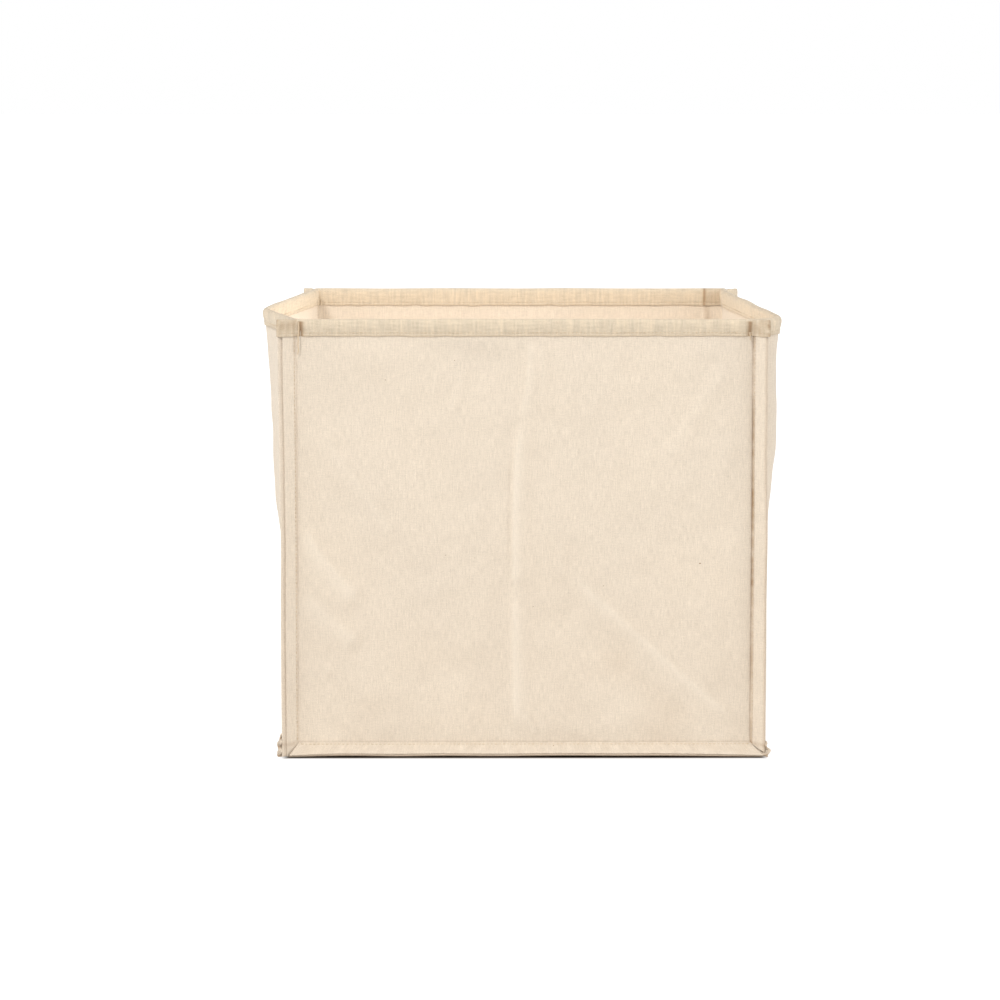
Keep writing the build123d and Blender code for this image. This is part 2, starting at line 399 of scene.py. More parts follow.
def wovenCloth(name, look):
    # plain weave with thick and thin yarns, seed specks, soft clouding and a matt, slightly fuzzy face
    material, tree, shader = newMaterial(name)
    uv = node(tree, "ShaderNodeUVMap", uv_map="cloth").outputs["UV"]
    split = node(tree, "ShaderNodeSeparateXYZ")
    tree.links.new(uv, split.inputs[0])
    turns = 2 * pi / look["yarn"]
    warpWave = math(tree, "SINE", math(tree, "MULTIPLY", split.outputs["X"], turns))
    weftWave = math(tree, "SINE", math(tree, "MULTIPLY", split.outputs["Y"], turns))
    weave = math(tree, "MULTIPLY", warpWave, weftWave)
    warpSlub = stretchedNoise(tree, uv, (look["warpSlubs"], look["warpSlubs"] / look["warpLength"], 1), 3.0)
    weftSlub = stretchedNoise(tree, uv, (look["weftSlubs"] / look["weftLength"], look["weftSlubs"], 1), 3.0)
    cloud = stretchedNoise(tree, uv, (*look["cloudScale"], 1), 4.0)
    grain = stretchedNoise(tree, uv, (*look["grainScale"], 1), 2.0)
    fuzz = stretchedNoise(tree, uv, (*look["fuzzScale"], 1), 2.0)

    def centred(value, amount):
        return math(tree, "MULTIPLY", math(tree, "SUBTRACT", value, 0.5), amount)

    def summed(total, *others):
        for value in others:
            total = math(tree, "ADD", total, value)
        return total

    shade = summed(
        centred(warpSlub, look["warpShade"]), centred(weftSlub, look["weftShade"]),
        centred(cloud, look["cloudShade"]), centred(grain, look["grainShade"]),
        math(tree, "MULTIPLY", weave, look["weaveShade"]), 1.0,
    )
    patches = math(tree, "ADD", math(tree, "MULTIPLY", cloud, 1.6), -0.3)
    lit = node(tree, "ShaderNodeVectorMath", operation="SCALE")
    tree.links.new(blended(tree, patches, look["cool"], look["tone"]), lit.inputs[0])
    tree.links.new(shade, lit.inputs["Scale"])

    cells = node(tree, "ShaderNodeTexVoronoi", Scale=look["speckScale"], Randomness=1.0)
    tree.links.new(uv, cells.inputs["Vector"])
    pick = node(tree, "ShaderNodeSeparateColor")
    tree.links.new(cells.outputs["Color"], pick.inputs[0])
    small = math(tree, "MULTIPLY", pick.outputs["Green"], look["speckSize"])
    isSpeck = math(tree, "LESS_THAN", cells.outputs["Distance"], small)
    chosen = math(tree, "GREATER_THAN", pick.outputs["Red"], 1 - look["speckShare"])
    strength = math(tree, "MULTIPLY", pick.outputs["Blue"], pick.outputs["Blue"])
    speck = math(tree, "MULTIPLY", math(tree, "MULTIPLY", isSpeck, chosen), strength)
    colour = blended(tree, speck, lit.outputs[0], look["speck"])
    # paler along the crease ridges, a painted highlight; browner down in the folds and along seams, painted
    # shade together with dirt; and browner on raw edges, which is dirt
    for attribute in ("ridgeHighlight", "dirtAndShade"):
        tint = node(tree, "ShaderNodeAttribute", attribute_name=attribute).outputs["Fac"]
        colour = blended(tree, tint, colour, look[attribute])
    height = summed(
        math(tree, "MULTIPLY", weave, look["weaveLift"]), centred(warpSlub, look["slubLift"]),
        centred(weftSlub, look["slubLift"] * 0.7), centred(fuzz, look["weaveLift"]),
    )
    feed(tree, shader, {
        "Base Color": colour, "Roughness": math(tree, "ADD", centred(warpSlub, 0.12), look["roughness"]),
        "Sheen Weight": look["sheen"], "Sheen Roughness": 0.45, "Specular IOR Level": 0.2,
        "Normal": bumped(tree, height, 1.0, 1.0),
    })
    return material


canvasLook = {
    "tone": (0.606, 0.519, 0.415), "cool": (0.598, 0.516, 0.419), "speck": (0.20, 0.12, 0.06),
    # brown for painted shade together with dirt, and pale for the painted highlight along crease ridges
    "dirtAndShade": (0.27, 0.165, 0.085), "ridgeHighlight": (0.74, 0.66, 0.55),
    "yarn": 0.00085, "warpSlubs": 1150, "warpLength": 9, "weftSlubs": 1250, "weftLength": 7,
    "cloudScale": (16, 11), "grainScale": (1500, 1100), "fuzzScale": (2600, 2600),
    "warpShade": 0.38, "weftShade": 0.24, "cloudShade": 0.05, "weaveShade": 0.05, "grainShade": 0.36,
    "speckScale": 140, "speckSize": 0.075, "speckShare": 0.16,
    "roughness": 0.88, "sheen": 0.12, "weaveLift": 0.00003, "slubLift": 0.00014,
}
tapeLook = dict(
    canvasLook, tone=(0.590, 0.487, 0.357), cool=(0.545, 0.462, 0.352), cloudScale=(240, 45),
    yarn=0.0012, warpSlubs=620, weftSlubs=700, warpShade=0.44, weftShade=0.34, weaveShade=0.10,
    cloudShade=0.22, speckShare=0.10, weaveLift=0.00007, slubLift=0.00022,
)
threadLook = {"tone": (0.62, 0.49, 0.33), "shadow": (0.40, 0.29, 0.18), "twist": 2600}
wireLook = {"tone": (0.60, 0.60, 0.59), "roughness": 0.28}
ferruleLook = {"tone": (0.47, 0.47, 0.48), "roughness": 0.42}


def sewingThread(name, look):
    # twisted yarn, with darker lines where the plies meet
    material, tree, shader = newMaterial(name)
    place = node(tree, "ShaderNodeTexCoord").outputs["Object"]
    noise = stretchedNoise(tree, place, (look["twist"],) * 3, 2.0)
    feed(tree, shader, {
        "Base Color": blended(tree, noise, look["shadow"], look["tone"]), "Roughness": 0.55,
        "Sheen Weight": 0.2, "Normal": bumped(tree, noise, 0.6, 0.00005),
    })
    return material


def drawnSteel(name, look):
    # bright wire with fine die marks
    material, tree, shader = newMaterial(name)
    place = node(tree, "ShaderNodeTexCoord").outputs["Object"]
    marks = stretchedNoise(tree, place, (900, 900, 2500), 3.0)
    darker = tuple(value * 0.75 for value in look["tone"])
    feed(tree, shader, {
        "Base Color": blended(tree, marks, darker, look["tone"]), "Metallic": 1.0,
        "Roughness": math(tree, "ADD", math(tree, "MULTIPLY", marks, 0.15), look["roughness"]),
    })
    return material


canvas = wovenCloth("naturalCanvas", canvasLook)
tape = wovenCloth("bindingTape", tapeLook)
thread = sewingThread("sewingThread", threadLook)
steel = drawnSteel("springWire", wireLook)
sleeve = drawnSteel("ferruleSteel", ferruleLook)
print("materials ready")


# ---- wall panels: a sheet with half of two corner fins and half of a base fin
panelGrid = {
    "step": 0.0022, "fineStep": 0.0011, "fineHalf": 0.014, "finSteps": 7, "flapSteps": 7, "topSteps": 5,
    "foldGap": 0.0007,
}


def wallColumns():
    grid = panelGrid
    edge = seamHalf - grid["foldGap"]
    coarse = np.linspace(grid["fineHalf"], edge - 0.004, int((edge - grid["fineHalf"]) / grid["step"]))
    coarse = np.append(coarse, edge - np.array([0.0028, 0.0018, 0.0009, 0.0]))
    fine = np.arange(-grid["fineHalf"] + grid["fineStep"], grid["fineHalf"] - 1e-6, grid["fineStep"])
    return np.concatenate([-coarse[::-1], fine, coarse])


def wallPanel(quarter, name, ups):
    columns = wallColumns()
    foldUp = seamHeight + panelGrid["foldGap"]
    reach = np.linspace(panelGrid["foldGap"], finReach, panelGrid["finSteps"])
    parts, us, vs = [], [], []

    def finColumns(corner, alongs, end):
        # the wall's layer of a fin: end is 1 at the wall's right end and -1 at its left end
        for along in alongs:
            cutBack = 1 - fins["cutBack"][corner % 4] * along / finReach
            low = seamHeight - along * slant * cutBack + fins["clear"]
            low = low + (fins["clear"] - low) * fins["toFloor"][corner % 4] * ramp(along, 0.0, 0.003)
            heights = low + (ups - foldUp) * (wallTop - low) / (wallTop - foldUp)
            parts.append(finPoint(corner, along, end * layerOff, heights))
            us.append(np.full(len(ups), end * (seamHalf + along)))
            vs.append(heights)

    finColumns(quarter + 3, reach[::-1] * fins["left"][quarter], -1)
    s, z = np.meshgrid(columns, ups, indexing="ij")
    parts.extend(wallPoint(quarter, s, z))
    us.extend(s)
    vs.extend(z)
    finColumns(quarter, reach * fins["right"][quarter], 1)
    sheet = np.stack(parts, axis=1)                   # rows of height by columns across
    across, up = np.stack(us, axis=1), np.stack(vs, axis=1)
    piece = newPiece(
        name, sheet.reshape(-1, 3), quads(*across.shape), pairs(across, up), canvas,
        wallDirtAndShade(quarter, across, up), wallRidgeHighlight(quarter, across, up),
    )
    return thicken(piece, clothThick)


# painted highlight on the crease ridges, painted shade on their lee side and down in their valleys, and
# darker towards the floor
creaseShading = {
    "full": 0.0030, "highlight": 0.46, "paintedShade": 0.11, "valleyShade": 0.26, "shift": 0.0034,
    "lowDarkening": 0.062, "darkFrom": 0.05, "darkTo": 0.25, "patches": 0.05,
}


def wallRidgeHighlight(quarter, along, up):
    # painted highlight: a pale line along each crease ridge
    stands = creases(sideNames[quarter], along, up) / creaseShading["full"]
    return creaseShading["highlight"] * np.clip(stands, 0, 1.2) ** 2


def wallDirtAndShade(quarter, along, up):
    # brown along the seams and the base fold, painted shade together with dirt, and dirty raw edges; painted
    # shade in the lee of the creases and down in their valleys; and darker towards the floor
    edge = np.abs(seamHalf - np.abs(along))
    amount, width = [
        np.where(along > 0, seamDirtAndShade[key][quarter], seamDirtAndShade[key][quarter - 1])
        for key in ("amount", "width")
    ]
    amount = amount * (0.55 + 0.45 * near(up - seamDirtAndShade["middle"], seamDirtAndShade["spread"]))
    patchy = 0.70 + 0.35 * wobble(up, 300 + quarter, 0.06) + 0.2 * wobble(up, 304 + quarter, 0.008)
    beside = amount * patchy * near(edge, width)
    raw = seamDirtAndShade["rawEdge"] * near(np.abs(along) - seamHalf - finReach, seamDirtAndShade["rawWidth"])
    side = sideNames[quarter]
    here = creases(side, along, up) / creaseShading["full"]
    behind = creases(side, along - creaseShading["shift"], up) / creaseShading["full"]
    # painted shade on the lee side of each crease and down in its valleys
    lee = creaseShading["paintedShade"] * np.clip(behind - here, 0, 1) + creaseShading["valleyShade"] * np.clip(-here, 0, 1)
    # darker towards the floor, in patches
    lowDark = creaseShading["lowDarkening"] * (1 - ramp(up, creaseShading["darkFrom"], creaseShading["darkTo"]))
    lee = lee + lowDark * (1 + 0.35 * ripple(along, up, 310 + quarter, creaseShading["patches"]))
    return lee + np.maximum(beside, raw) + seamDirtAndShade["foot"] * near(up - seamHeight, seamDirtAndShade["footWidth"])


def wallFoot(quarter):
    # the same cloth below the fold: its half of the base fin, which stays with the base when the walls fold
    columns = wallColumns()
    downs = np.linspace(finReach, panelGrid["foldGap"], panelGrid["flapSteps"])
    s, d = np.meshgrid(columns, downs)
    flap = basePoint(quarter, s, d * (1 - baseFin["outerShort"] * (1 - (s / seamHalf) ** 6)), layerOff)
    fold = wallPoint(quarter, columns, np.full(len(columns), seamHeight + panelGrid["foldGap"]))
    points = np.concatenate([flap.reshape(-1, 3), fold])
    s = np.vstack([s, columns])
    up = seamHeight - np.vstack([d, d[-1] * 0])
    # painted shade over the whole flap of the base fin, slightly mottled
    paintedShade = 0.10 + 0.05 * ripple(s, up, 320 + quarter, 0.010)
    name = f"{sideNames[quarter]}_canvas_foot"
    piece = newPiece(name, points, quads(*s.shape), pairs(s, up), canvas, paintedShade)
    return thicken(piece, clothThick)


wallRows = int((wallTop - seamHeight) / panelGrid["step"])
wallUps = np.linspace(seamHeight + panelGrid["foldGap"], splitHeight, wallRows)
topUps = np.linspace(splitHeight, wallTop, panelGrid["topSteps"])
panels = [wallPanel(quarter, f"{sideNames[quarter]}_canvas", wallUps) for quarter in range(4)]
tops = [wallPanel(quarter, f"{sideNames[quarter]}_canvas_top", topUps) for quarter in range(4)]
feet = [wallFoot(quarter) for quarter in range(4)]
print("walls made:", [len(p.data.polygons) for p in panels])


# ---- base panel: flat middle on the floor, rising to its seams, with its own half of the base fin
baseLook = {
    "flatHalf": 0.130, "rise": 1.6, "step": 0.0030, "seed": 64, "level": 0.02, "wave": 0.0009,
    "waveLength": 0.07, "crease": 0.0010, "creaseWidth": 0.0035, "edgeDarkening": 0.5, "edgeWidth": 0.0009,
}
ears = {
    # ruffled raw corners of the base's cloth: front right, back right, back left, front left
    "from": 0.0070, "to": [0.0146, 0.0140, 0.0140, 0.0168], "height": [0.0110, 0.013, 0.013, 0.0175],
    "ruffle": 0.0011, "wave": 0.0068, "lobes": 0.0009, "turn": 2.0, "fray": 0.0003, "frayLength": 0.0021,
    "clear": 0.0007, "narrows": 0.45, "rings": 30, "spots": 12,
}


def baseHeight(x, y):
    far = np.maximum(np.abs(x), np.abs(y))
    rise = np.clip((far - baseLook["flatHalf"]) / (seamHalf - baseLook["flatHalf"]), 0, 1)
    z = clothThick / 2 + (seamHeight - clothThick) * rise ** baseLook["rise"]
    inner = 1 - ramp(far, seamHalf - baseLook["level"], seamHalf)
    waves = np.maximum(1 + ripple(x, y, baseLook["seed"], baseLook["waveLength"]), 0)
    cross = np.exp(-np.abs(x) / baseLook["creaseWidth"]) + np.exp(-np.abs(y) / baseLook["creaseWidth"])
    return z + inner * baseLook["wave"] * waves + inner * baseLook["crease"] * cross


def baseCorner(corner):
    # the corner of the base's cloth, gathered up behind the fin's lower end and left raw
    up, reach = np.meshgrid(np.linspace(0, 1, ears["rings"]), np.linspace(0, 1, ears["spots"]))
    height = ears["clear"] + ears["height"][corner] * up
    turn = 2 * pi * height / ears["wave"]
    fray = ears["fray"] * wobble(height, 88 + corner, ears["frayLength"])
    lobes = ears["lobes"] * np.cos(turn + ears["turn"])
    wide = ears["to"][corner] - ears["from"] + fray + lobes
    along = ears["from"] + wide * reach * (1 - ears["narrows"] * up**4)
    wave = np.sin(turn + corner) + 0.4 * ripple(height, reach, 81 + corner, 0.005)
    away = -faceOff + ears["ruffle"] * wave * reach**0.7 - ears["clear"]
    if corner == 3:
        away = -away
    # painted shade in the ruffle's inward hollows, and darker towards the raw edge
    hollow = 0.5 - 0.5 * np.cos(turn + ears["turn"])
    tint = 0.55 * hollow**3 * reach + 0.25 * reach**4
    return finPoint(corner, along, away, height).reshape(-1, 3), pairs(along, height), tint.ravel()


def basePanel():
    half = seamHalf - panelGrid["foldGap"]
    spots = np.linspace(-half, half, int(2 * half / baseLook["step"]))
    x, y = np.meshgrid(spots, spots)
    points = [np.stack([x, y, baseHeight(x, y)], axis=-1).reshape(-1, 3)]
    uvs = [pairs(x, y)]
    count = len(spots)
    faces = [quads(count, count)]
    index = np.arange(count * count).reshape(count, count)
    edges = [index[0, :], index[:, -1], index[-1, ::-1], index[::-1, 0]]
    first = count * count
    tint = [np.zeros(first)]
    downs = np.linspace(finReach, panelGrid["foldGap"], panelGrid["flapSteps"])
    s, d = np.meshgrid(spots, downs)
    for quarter in range(4):
        flap = basePoint(quarter, s, d * (1 - baseFin["innerShort"] * (1 - (s / seamHalf) ** 6)), -layerOff)
        points.append(flap.reshape(-1, 3))
        # darker along the raw edge of the base's fin, where it meets the floor
        tint.append((baseLook["edgeDarkening"] * near(d - finReach, baseLook["edgeWidth"])).ravel())
        uvs.append(pairs(s, -seamHalf - d))
        faces.append(quads(len(downs), count, first)[:, ::-1])
        last = first + (len(downs) - 1) * count + np.arange(count - 1)
        edge = edges[quarter]
        faces.append(np.stack([last + 1, last, edge[:-1], edge[1:]], axis=-1))
        first += len(downs) * count
    for corner in range(4):
        for held, made in zip((points, uvs, tint), baseCorner(corner)):
            held.append(made)
        faces.append(quads(ears["spots"], ears["rings"], first))
        first += ears["spots"] * ears["rings"]
    points, faces, uvs, tint = [np.concatenate(lists) for lists in (points, faces, uvs, tint)]
    return thicken(newPiece("base_canvas", points, faces, uvs, canvas, tint), clothThick)


base = basePanel()
print("base made:", len(base.data.polygons))


# ---- rim binding: tape folded over the wire and the walls' top edge, and round the top of each fin
binding = {
    # distance out from the wall's middle and height above the tape's lower edge, in mm
    "profile": [
        (1.00, 0.0), (0.92, 1.3), (0.95, 2.5), (1.35, 4.2), (1.90, 6.0), (2.20, 8.0), (2.05, 9.7),
        (1.40, 10.9),
        (0.50, 11.5), (-0.40, 11.55), (-1.30, 11.0), (-1.85, 9.8), (-1.95, 8.0), (-1.60, 6.0), (-1.20, 4.2),
        (-0.93, 2.5), (-0.92, 1.3), (-1.00, 0.0),
    ],
    "stitchUp": 0.0025, "station": 0.0013, "rounding": 0.0014, "seed": 131,
    "tabLength": 0.0140, "tabRise": [0.0004, 0.0012, 0.0016, 0.0008],
    "backRise": 0.0014, "notchWidth": 0.0013, "notchDepth": 0.95, "notchAt": [0.0036, 0.0, 0.0, 0.0042],
    "lap": (0.1490, 0.1660), "lapProud": 0.45, "pinch": 0.00028, "pinchWidth": 0.0015,
    "atStitch": (0.00095, -0.00093), "tabSlim": 0.45, "tabGap": 0.00102,
}


def mouthPath():
    # the middle of the walls all round at the rim, with its corners rounded, as evenly spaced spots
    along = np.linspace(-seamHalf, seamHalf, 801)[:-1]
    path = np.concatenate([wallPoint(q, along, np.full(along.shape, wallTop))[:, :2] for q in range(4)])
    steps = np.linalg.norm(np.roll(path, -1, axis=0) - path, axis=1)
    reach = np.concatenate([[0], np.cumsum(steps)])
    count = int(reach[-1] / binding["station"])
    fine = np.linspace(0, reach[-1], count * 4, endpoint=False)
    closed = np.vstack([path, path[:1]])
    dense = np.stack([np.interp(fine, reach, closed[:, axis]) for axis in range(2)], axis=1)
    spacing = reach[-1] / len(fine)
    span = int(4 * binding["rounding"] / spacing)
    weights = np.exp(-0.5 * (np.arange(-span, span + 1) * spacing / binding["rounding"]) ** 2)
    weights /= weights.sum()
    smooth = sum(w * np.roll(dense, -shift, axis=0) for w, shift in zip(weights, range(-span, span + 1)))
    spots = smooth[::4]
    tangent = np.roll(spots, -1, axis=0) - np.roll(spots, 1, axis=0)
    tangent /= np.linalg.norm(tangent, axis=1)[:, None]
    outward = np.stack([tangent[:, 1], -tangent[:, 0]], axis=1)
    return spots, outward, np.linspace(0, reach[-1], count, endpoint=False), reach[-1]


mouthSpots, mouthOut, mouthReach, mouthLength = mouthPath()


def roundWave(reach, seed, wavelength):
    # ripple along the rim that closes on itself
    angle = 2 * pi * reach / mouthLength
    radius = mouthLength / (2 * pi)
    return ripple(radius * np.cos(angle), radius * np.sin(angle), seed, wavelength)


def rimNotch():
    # 1 where the tape is drawn in hard beside a front fin
    deep = np.zeros(mouthReach.shape)
    for corner, x in ((0, seamHalf - binding["notchAt"][0]), (3, binding["notchAt"][3] - seamHalf)):
        away = np.hypot(mouthSpots[:, 0] - x, mouthSpots[:, 1] + seamHalf)
        deep = np.maximum(deep, near(away, binding["notchWidth"]))
    return deep


def tapeLap():
    # 1 along the lap where the tape's ends meet, and 1 at its cut edge
    start, end = binding["lap"]
    behind = mouthSpots[:, 1] > 0.9 * seamHalf
    across = mouthSpots[:, 0]
    lap = ramp(across, start - 0.0006, start + 0.0006) * (1 - ramp(across, end - 0.001, end))
    return lap * behind, near(across - start, 0.0012) * behind


def rimPoint(out, up):
    # ring of points at this distance out from the walls and height above the tape's lower edge
    seed = binding["seed"]
    tops = (0.0004 + 0.0002 * roundWave(mouthReach, seed, 0.07)) * ramp(up, 0.006, 0.011)
    tops = tops + binding["backRise"] * ramp(mouthSpots[:, 1], -0.1, 0.14) * ramp(up, 0.003, 0.011)
    lows = 0.00030 * roundWave(mouthReach, seed + 1, 0.018) * (1 - ramp(up, 0.0, 0.004))
    swell = 1 + (0.09 * roundWave(mouthReach, seed + 2, 0.012) + 0.06 * roundWave(mouthReach, seed + 3, 0.04))
    pinch = binding["pinch"] * np.sin(2 * pi * mouthReach / stitchLook["pitch"])
    pinch = pinch * near(up - binding["stitchUp"], binding["pinchWidth"])
    body = ramp(up, 0.0025, 0.006)
    reach = out * (1 + (swell - 1) * body) + np.sign(out) * pinch
    if out > 0:
        reach = reach * (1 - binding["notchDepth"] * rimNotch() * (1 - 0.78 * ramp(up, 0.0040, 0.0065)))
    else:
        reach = reach * (1 + binding["lapProud"] * tapeLap()[0])
    sway = 0.00012 * roundWave(mouthReach, seed + 4, 0.06) * body
    spots = mouthSpots + mouthOut * (reach + sway)[:, None]
    return np.column_stack([spots, bandBottom + up + tops + lows])


stitchLook = {"pitch": 0.0030, "length": 0.0023, "width": 0.00055, "unevenness": 0.25, "fromFold": 0.0014}


def rimTape():
    profile = np.array(binding["profile"]) / 1000
    out, level = profile[:, 0], profile[:, 1]
    rings = np.stack([rimPoint(*spot) for spot in profile], axis=1)
    count, across = rings.shape[:2]
    width = np.concatenate([[0], np.cumsum(np.linalg.norm(np.diff(profile, axis=0), axis=1))])
    points = [np.concatenate([rings, rings[:1]]).reshape(-1, 3)]
    uvs = [pairs(np.append(mouthReach, mouthLength)[:, None], width)]
    faces = [quads(count + 1, across)[:, ::-1]]
    first = (count + 1) * across
    lap, cut, notch = [np.append(marks, marks[0])[:, None] for marks in (*tapeLap(), rimNotch())]
    # painted shade in the notch where the tape is drawn in beside each front fin, and darker along the tape's
    # lower edge
    dark = 0.95 * notch**0.5 * (out > 0) * (level < 0.0098)
    marks = np.maximum(dark, 0.30 * near(level, 0.0010))
    tint = [np.maximum(marks, (0.75 * cut + 0.20 * lap) * (out < 0)).ravel()]
    # over each fin: the same fold of tape, ending in a rounded corner
    alongs = np.array([-4, -1, 2, 4, 6, 8, 10, 11.7, 12.9, 13.6, 14.0, 14.1]) / 1000
    narrow = np.array([1.0, 1.0, 1.0, 1.02, 1.05, 1.05, 1.02, 1.0, 0.88, 0.62, 0.30, 0.03])
    for corner in range(4):
        for along, half in zip(alongs, narrow):
            away = np.sign(out) * (np.abs(out) * binding["tabSlim"] + binding["tabGap"]) * half
            up = bandBottom + level + binding["tabRise"][corner] * ramp(along, 0.0, 0.008) * (level > 0.006)
            up = up + 0.0004 * ripple(along, level * 0, 140 + corner, 0.01)
            up = up - 0.0011 * (1 - half) ** 2 * (up > bandBottom + 0.006)
            points.append(finPoint(corner, np.full(across, along), away, up))
        uvs.append(pairs(alongs[:, None], width))
        faces.append(quads(len(alongs), across, first))
        first += len(alongs) * across
        frayed = 0.6 + 0.5 * wobble(level, 150 + corner, 0.004)
        frayed = 0.60 * ramp(alongs, 0.0120, 0.0138)[:, None] * frayed
        mottled = 0.24 + 0.20 * ripple(alongs[:, None], level, 154 + corner, 0.0030, 3.0)
        tint.append(np.maximum(frayed, mottled * (corner in (0, 3))).ravel())
    points, faces, uvs, tint = [np.concatenate(lists) for lists in (points, faces, uvs, tint)]
    return thicken(newPiece("rim_binding_tape", points, faces, uvs, tape, tint), tapeThick)


rimBinding = rimTape()
print("rim binding made:", len(rimBinding.data.polygons), "length round the mouth", round(mouthLength, 3))


# ---- stitches, laid along their seams by a node tree
def stitchTree():
    tree = bpy.data.node_groups.new("Stitches", "GeometryNodeTree")
    face = tree.interface
    face.new_socket("Geometry", in_out="INPUT", socket_type="NodeSocketGeometry")
    for name in ("Stitch Pitch", "Stitch Length", "Thread Width", "Unevenness"):
        face.new_socket(name, in_out="INPUT", socket_type="NodeSocketFloat")
    face.new_socket("Seed", in_out="INPUT", socket_type="NodeSocketInt")
    face.new_socket("Thread", in_out="INPUT", socket_type="NodeSocketMaterial")
    face.new_socket("Geometry", in_out="OUTPUT", socket_type="NodeSocketGeometry")
    given = tree.nodes.new("NodeGroupInput").outputs
    made = tree.nodes.new("NodeGroupOutput").inputs

    def step(kind, links, **settings):
        return feed(tree, node(tree, kind, **settings), links)

    path = {"Curve": given["Geometry"], "Length": given["Stitch Pitch"]}
    spots = step("GeometryNodeCurveToPoints", path, mode="LENGTH")
    turn = step("FunctionNodeAlignRotationToVector", {"Vector": spots["Tangent"]}, axis="Z")
    bead = step("GeometryNodeMeshUVSphere", {}, Segments=6, Rings=5, Radius=0.5)
    width = given["Thread Width"]
    size = step("ShaderNodeCombineXYZ", {"X": width, "Y": width, "Z": given["Stitch Length"]})
    shape = step("GeometryNodeTransform", {"Geometry": bead["Mesh"], "Scale": size[0]})
    vary = node(tree, "FunctionNodeRandomValue", data_type="FLOAT")
    low, high = [s for s in vary.inputs if s.name in ("Min", "Max") and s.type == "VALUE"]
    tree.links.new(math(tree, "SUBTRACT", 1.0, given["Unevenness"]), low)
    high.default_value = 1.05
    tree.links.new(given["Seed"], vary.inputs["Seed"])
    place = step("GeometryNodeInstanceOnPoints", {
        "Points": spots["Points"], "Instance": shape["Geometry"], "Rotation": turn["Rotation"],
        "Scale": [s for s in vary.outputs if s.type == "VALUE"][0],
    })
    real = step("GeometryNodeRealizeInstances", {"Geometry": place["Instances"]})
    dress = step("GeometryNodeSetMaterial", {"Geometry": real["Geometry"], "Material": given["Thread"]})
    tree.links.new(dress["Geometry"], made["Geometry"])
    return tree


stitches = stitchTree()


def sewn(name, lines, seed):
    # a row of stitches along each line, as one plain mesh
    look = stitchLook
    curve = bpy.data.curves.new(name + "_lines", "CURVE")
    curve.dimensions = "3D"
    for line in lines:
        spline = curve.splines.new("POLY")
        spline.points.add(len(line) - 1)
        spline.points.foreach_set("co", np.column_stack([line, np.ones(len(line))]).ravel())
    holder = bpy.data.objects.new(name + "_lines", curve)
    bpy.context.collection.objects.link(holder)
    rows = holder.modifiers.new("stitches", "NODES")
    rows.node_group = stitches
    values = {
        "Stitch Pitch": look["pitch"], "Stitch Length": look["length"], "Thread Width": look["width"],
        "Unevenness": look["unevenness"], "Seed": seed, "Thread": thread,
    }
    for item in stitches.interface.items_tree:
        if item.item_type == "SOCKET" and item.in_out == "INPUT" and item.name in values:
            rows[item.identifier] = values[item.name]
    bpy.context.view_layer.update()
    mesh = bpy.data.meshes.new_from_object(holder.evaluated_get(bpy.context.evaluated_depsgraph_get()))
    mesh.name = name
    mesh.shade_smooth()
    bpy.data.objects.remove(holder)
    piece = bpy.data.objects.new(name, mesh)
    bpy.context.collection.objects.link(piece)
    return piece


seams = []
threadLift = stitchLook["width"] * 0.2
seamTop = bandBottom - 0.0015
seamUps = np.linspace(seamHeight + 0.004, seamTop, 140)
for corner in range(4):
    ahead = np.full(seamUps.shape, stitchLook["fromFold"])
    rows = [finPoint(corner, ahead, face * (faceOff + threadLift), seamUps) for face in (1, -1)]
    seams.append(sewn(f"corner_stitches_{cornerNames[corner]}", rows, 200 + corner))

baseSeams = []
seamAlong = np.linspace(-seamHalf + 0.004, seamHalf - 0.004, 120)
for quarter in range(4):
    ahead = np.full(seamAlong.shape, stitchLook["fromFold"])
    rows = [basePoint(quarter, seamAlong, ahead, face * (faceOff + threadLift)) for face in (1, -1)]
    baseSeams.append(sewn(f"base_stitches_{sideNames[quarter]}", rows, 210 + quarter))


def rimStitches():
    up = binding["stitchUp"]
    lift = tapeThick / 2 + threadLift
    rows = []
    for out in binding["atStitch"]:
        ring = rimPoint(out + lift * np.sign(out), up)
        rows.append(np.vstack([ring, ring[:1]]))
    tab = np.linspace(0.003, binding["tabLength"] - 0.0015, 14)
    tabHalf = binding["atStitch"][0] * binding["tabSlim"] + binding["tabGap"] + lift
    for corner in range(4):
        for face in (1, -1):
            rows.append(finPoint(corner, tab, face * tabHalf, np.full(tab.shape, bandBottom + up)))
    return sewn("rim_stitches", rows, 220)


rimThread = rimStitches()
threadTails = {
    # each end is x, the height where it starts, its length and its sideways drift
    "thickness": 0.00040, "off": 0.0026, "bulge": 0.0006, "wander": 0.0004, "spots": 14, "sides": 6,
    "ends": [
        (-0.1634, 0.3180, 0.023, -0.0006), (-0.1742, 0.3080, 0.011, -0.0008), (0.1618, 0.3110, 0.006, 0.0014),
    ],
}


def threadTail(mesh, finish, x, top, length, drift, seed):
    # the loose end of a seam's thread, lying down the face of the fin
    look = threadTails
    run = np.linspace(0, 1, look["spots"])
    forward = look["off"] + look["bulge"] * np.sin(pi * run) - look["wander"] * wobble(run, seed + 1, 0.5)
    line = np.column_stack([
        x + drift * run + look["wander"] * wobble(run, seed, 0.4), -seamHalf - forward, top - length * run,
    ])
    turns = np.linspace(0, 2 * pi, look["sides"], endpoint=False)
    ring = look["thickness"] * np.array([[cos(turn), sin(turn), 0] for turn in turns])
    rings = [[mesh.verts.new(spot + away) for away in ring] for spot in line]
    skin = [
        [low[j - 1], low[j], high[j], high[j - 1]]
        for low, high in zip(rings[:-1], rings[1:]) for j in range(len(ring))
    ]
    for corners in skin + [rings[0], rings[-1]]:
        mesh.faces.new(corners).material_index = finish


